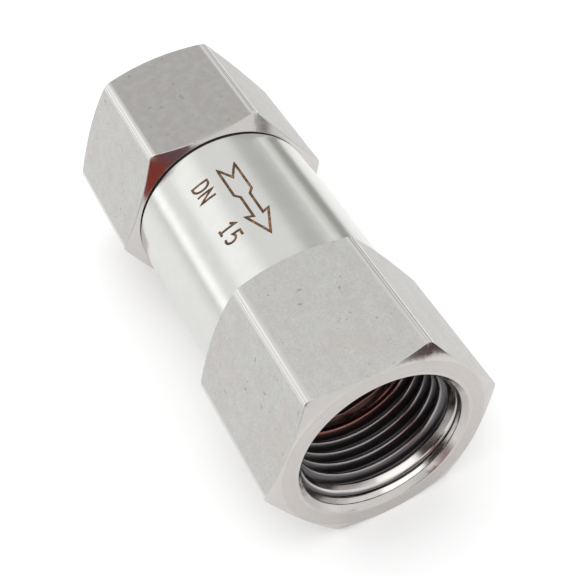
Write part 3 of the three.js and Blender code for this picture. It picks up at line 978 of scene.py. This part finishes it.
def stroke_mesh(corners, faces, points, closed):
    """Adds one stroke, a thin closed band let into the barrel's surface."""
    left, right = ribbon(points, closed)
    first = len(corners)
    top, bottom = BARREL_R + MARK_PROUD, BARREL_R - MARK_SUNK
    for a, b in zip(left, right):
        corners += [on_barrel(*a, top), on_barrel(*b, top), on_barrel(*b, bottom), on_barrel(*a, bottom)]
    count = len(left)
    for i in range(count if closed else count - 1):
        here = first + 4 * i
        there = first + 4 * ((i + 1) % count)
        faces += [(here + k, here + (k + 1) % 4, there + (k + 1) % 4, there + k) for k in range(4)]
    if not closed:
        last = first + 4 * (count - 1)
        faces += [(first, first + 1, first + 2, first + 3), (last + 3, last + 2, last + 1, last)]


def mark_piece(name, strokes):
    """A laser mark of strokes, each (points, closed)."""
    corners, faces = [], []
    for points, closed in strokes:
        stroke_mesh(corners, faces, points, closed)
    mesh = bpy.data.meshes.new(name)
    mesh.from_pydata(corners, [], faces)
    piece = finished(name, mesh, [MARK])
    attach(piece, "housing")
    return piece


def flow_arrow():
    """Outline of an arrow that points to the outlet."""
    tail, tip = -6.9, 7.3
    notch, vane_end, shaft_start, barb = 2.4, 5.6, 6.4, 4.2
    vane, shaft, head = 1.25, 0.66, 1.6
    side = [
        (tail, vane), (tail + vane_end, vane), (tail + shaft_start, shaft),
        (tip - barb + 0.45, shaft), (tip - barb, head),
    ]
    other_side = [(x, -y) for x, y in reversed(side)]
    return mark_piece("flow_arrow_mark", [([*side, (tip, 0), *other_side, (tail + notch, 0)], True)])


def arc_points(centre, size, start, end, count):
    """Points of an elliptical arc, its angles in degrees."""
    return [(centre[0] + size[0] * math.cos(math.radians(a)), centre[1] + size[1] * math.sin(math.radians(a)))
            for a in np.linspace(start, end, count)]


def size_mark():
    """The nominal pipe size, DN 15, in plain stroke characters."""
    height, width = 2.35, 1.25
    base = -5.4
    letter_d = [(0, 0), (0, 1), (0.35, 1), *arc_points((0.35, 0.5), (0.65, 0.5), 80, -80, 9), (0.35, 0)]
    letter_n = [(0, 0), (0, 1), (1, 0), (1, 1)]
    figure_1 = [(0.1, 0.72), (0.55, 1), (0.55, 0)]
    figure_5 = [(0.9, 1), (0.12, 1), (0.08, 0.56), (0.3, 0.62),
                *arc_points((0.45, 0.32), (0.5, 0.32), 80, -130, 10)]
    glyphs = [(-6.5, letter_d, True), (-4.6, letter_n, False),
              (2.3, figure_1, False), (2.3, [(0.15, 0), (0.95, 0)], False), (4.2, figure_5, False)]
    strokes = [([(at + x * width, base + y * height) for x, y in glyph], closed)
               for at, glyph, closed in glyphs]
    return mark_piece("nominal_size_mark", strokes)


# ---- Assembly -------------------------------------------------------------------------------

stands_for(valve_body(), "housing", "valve_body")
stands_for(inlet_cap(), "housing", "inlet_cap")
stands_for(body_gasket(), "housing", "body_gasket")
stands_for(stem_guide(), "housing", "stem_guide")
stands_for(guide_bush(), "housing", "guide_bush")
stands_for(guide_ring(), "housing", "guide_ring")
stands_for(poppet_disc(), "poppet", "poppet_disc")
stands_for(seat_seal(), "poppet", "seat_seal")
stands_for(seal_washer(), "poppet", "seal_washer")
stands_for(lock_washer(), "poppet", "lock_washer")
stands_for(stem_nut(), "poppet", "stem_nut")
stands_for(poppet_stem(), "poppet", "poppet_stem")

spring = stands_for(return_spring(), "housing", "return_spring")
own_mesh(spring)

flow_arrow()
size_mark()


# ---- Camera, floor and light ----------------------------------------------------------------

def add_camera():
    """Looks down on the valve from in front of its outlet, a little from the left."""
    at = Vector((110.93, -27.89, 119.57)) * MM
    aim = Vector((3.178, 1.541, -2.435)) * MM
    roll = math.radians(13.81)
    forward = (aim - at).normalized()
    level_right = forward.cross(Vector((0, 0, 1))).normalized()
    level_up = level_right.cross(forward)
    up = level_up * math.cos(roll) + level_right * math.sin(roll)
    right = forward.cross(up)
    lens = bpy.data.cameras.new("camera")
    lens.lens = 76.57
    lens.sensor_width = 36
    lens.clip_start = 5 * MM
    camera = bpy.data.objects.new("camera", lens)
    turn = Matrix((right, up, -forward)).transposed().to_4x4()
    camera.matrix_world = Matrix.Translation(at) @ turn
    bpy.context.scene.collection.objects.link(camera)
    bpy.context.scene.camera = camera


def add_floor():
    """Pale floor under the valve's lower flat. It ends in front and on the right, so that the
    polished cones there mirror the dark side of the studio."""
    low_x, high_x = -600 * MM, 75 * MM
    low_y, high_y = -120 * MM, 79 * MM
    level = cad_box[0][2]
    mesh = bpy.data.meshes.new("floor")
    mesh.from_pydata([(low_x, low_y, level), (high_x, low_y, level), (high_x, high_y, level),
                      (low_x, high_y, level)], [], [(0, 1, 2, 3)])
    shader = Shader("floor_white", 0.0, 0.8)
    cloud = shader.noise(shader.position, 0.02, 2.0, 0.5)
    shader.set("Base Color", shader.blend(cloud, (0.93, 0.93, 0.93), (0.91, 0.91, 0.91)))
    shader.surface.inputs["Specular IOR Level"].default_value = 0.1
    shader.surface.inputs["Emission Color"].default_value = (1, 1, 1, 1)
    shader.surface.inputs["Emission Strength"].default_value = 0.17
    mesh.materials.append(shader.material)
    floor = bpy.data.objects.new("floor", mesh)
    bpy.context.scene.collection.objects.link(floor)


def add_area_light(name, direction, distance, size, power):
    """A soft box that faces the valve from a direction. The power is in watts."""
    light = bpy.data.lights.new(name, "AREA")
    light.shape = "RECTANGLE"
    light.size, light.size_y = size[0] * MM, size[1] * MM
    light.energy = power
    lamp = bpy.data.objects.new(name, light)
    towards = Vector(direction).normalized()
    lamp.location = towards * distance * MM
    lamp.rotation_euler = towards.to_track_quat("Z", "Y").to_euler()
    bpy.context.scene.collection.objects.link(lamp)


# Broad patches of the studio that the steel mirrors: direction, half width and half height in
# degrees, how soft the edge is, and colour.
STUDIO_PATCHES = [
    # Behind the valve on the left: a strip light above a thin darker line, and a soft box.
    ((-0.705, -0.69, 0.15), 40, 4, 0.6, (1.75, 1.75, 1.73)),
    ((-0.70, -0.71, 0.02), 40, 2, 0.6, (0.72, 0.72, 0.72)),
    ((-0.711, -0.39, 0.59), 15, 11, 0.6, (1.40, 1.40, 1.38)),
    # Behind on the right and above: greyer walls, and a dark edge near the floor.
    ((-0.711, -0.03, 0.70), 5, 7, 0.7, (1.0, 1.0, 0.99)),
    ((-0.704, 0.57, 0.42), 9, 14, 0.5, (0.66, 0.655, 0.65)),
    ((-0.68, 0.73, -0.14), 45, 9, 0.3, (0.40, 0.39, 0.365)),
    # In front: the dark side of the studio, with something red on the left.
    ((0.49, -0.86, 0.14), 18, 14, 0.3, (0.05, 0.025, 0.02)),
    ((0.15, -0.88, 0.45), 20, 20, 0.4, (0.03, 0.018, 0.014)),
    ((0.95, -0.20, 0.24), 14, 12, 0.3, (0.17, 0.085, 0.10)),
    ((0.88, -0.46, 0.03), 14, 15, 0.25, (0.30, 0.045, 0.032)),
    ((0.72, 0.69, 0.0), 3, 8, 0.7, (0.15, 0.14, 0.13)),
    ((0.75, 0.58, -0.33), 14, 13, 0.35, (0.09, 0.055, 0.05)),
]


def studio_patch(tree, direction, base, patch):
    """Lays one soft-edged patch over the studio's colour."""
    towards, half_width, half_height, softness, colour = patch
    forward = Vector(towards).normalized()
    right = forward.cross(Vector((0, 0, 1))).normalized()
    up = right.cross(forward)
    across = facing(tree, direction, right / math.sin(math.radians(half_width)))
    above = facing(tree, direction, up / math.sin(math.radians(half_height)))
    offset = add_node(tree, "ShaderNodeCombineXYZ", 0, {0: across, 1: above})
    length = add_node(tree, "ShaderNodeVectorMath", "Value", {0: offset}, operation="LENGTH")
    edge = add_node(tree, "ShaderNodeMapRange", 0, {0: length, 1: 1 + softness, 2: 1 - softness},
                    interpolation_type="SMOOTHSTEP")
    ahead = {0: facing(tree, direction, forward), 1: 0.5}
    front = add_node(tree, "ShaderNodeMath", 0, ahead, operation="GREATER_THAN")
    amount = add_node(tree, "ShaderNodeMath", 0, {0: edge, 1: front}, operation="MULTIPLY")
    values = {0: amount, 6: base, 7: (*colour, 1)}
    return add_node(tree, "ShaderNodeMix", 2, values, data_type="RGBA")


def facing(tree, direction, axis):
    """How far a direction points along an axis."""
    values = {0: direction, 1: axis}
    return add_node(tree, "ShaderNodeVectorMath", "Value", values, operation="DOT_PRODUCT")


def add_studio():
    """White studio with a few lighter and darker patches, as steel needs to show its shape. The
    camera itself sees plain white."""
    world = bpy.data.worlds.new("studio")
    bpy.context.scene.world = world
    world.use_nodes = True
    tree = world.node_tree
    tree.nodes.clear()
    direction = tree.nodes.new("ShaderNodeTexCoord").outputs["Generated"]
    height = add_node(tree, "ShaderNodeSeparateXYZ", 2, {0: direction})
    near_floor, overhead, overhead_from = 1.08, 1.0, 0.9
    ramp = tree.nodes.new("ShaderNodeValToRGB")
    low, high = ramp.color_ramp.elements
    low.position = 0.0
    low.color = (near_floor, near_floor, near_floor, 1)
    high.position = overhead_from
    high.color = (overhead, overhead, overhead, 1)
    tree.links.new(height, ramp.inputs[0])
    colour = ramp.outputs[0]
    for patch in STUDIO_PATCHES:
        colour = studio_patch(tree, direction, colour, patch)
    camera_ray = tree.nodes.new("ShaderNodeLightPath").outputs["Is Camera Ray"]
    seen = add_node(tree, "ShaderNodeMix", 2, {0: camera_ray, 6: colour, 7: (1, 1, 1, 1)},
                    data_type="RGBA")
    background = add_node(tree, "ShaderNodeBackground", 0, {0: seen})
    output = tree.nodes.new("ShaderNodeOutputWorld")
    tree.links.new(background, output.inputs[0])


add_camera()
add_floor()
add_studio()
add_area_light("top_box", (0.1, -0.2, 1.0), 900, (900, 900), 1.7)
bpy.context.scene.view_settings.view_transform = "Standard"
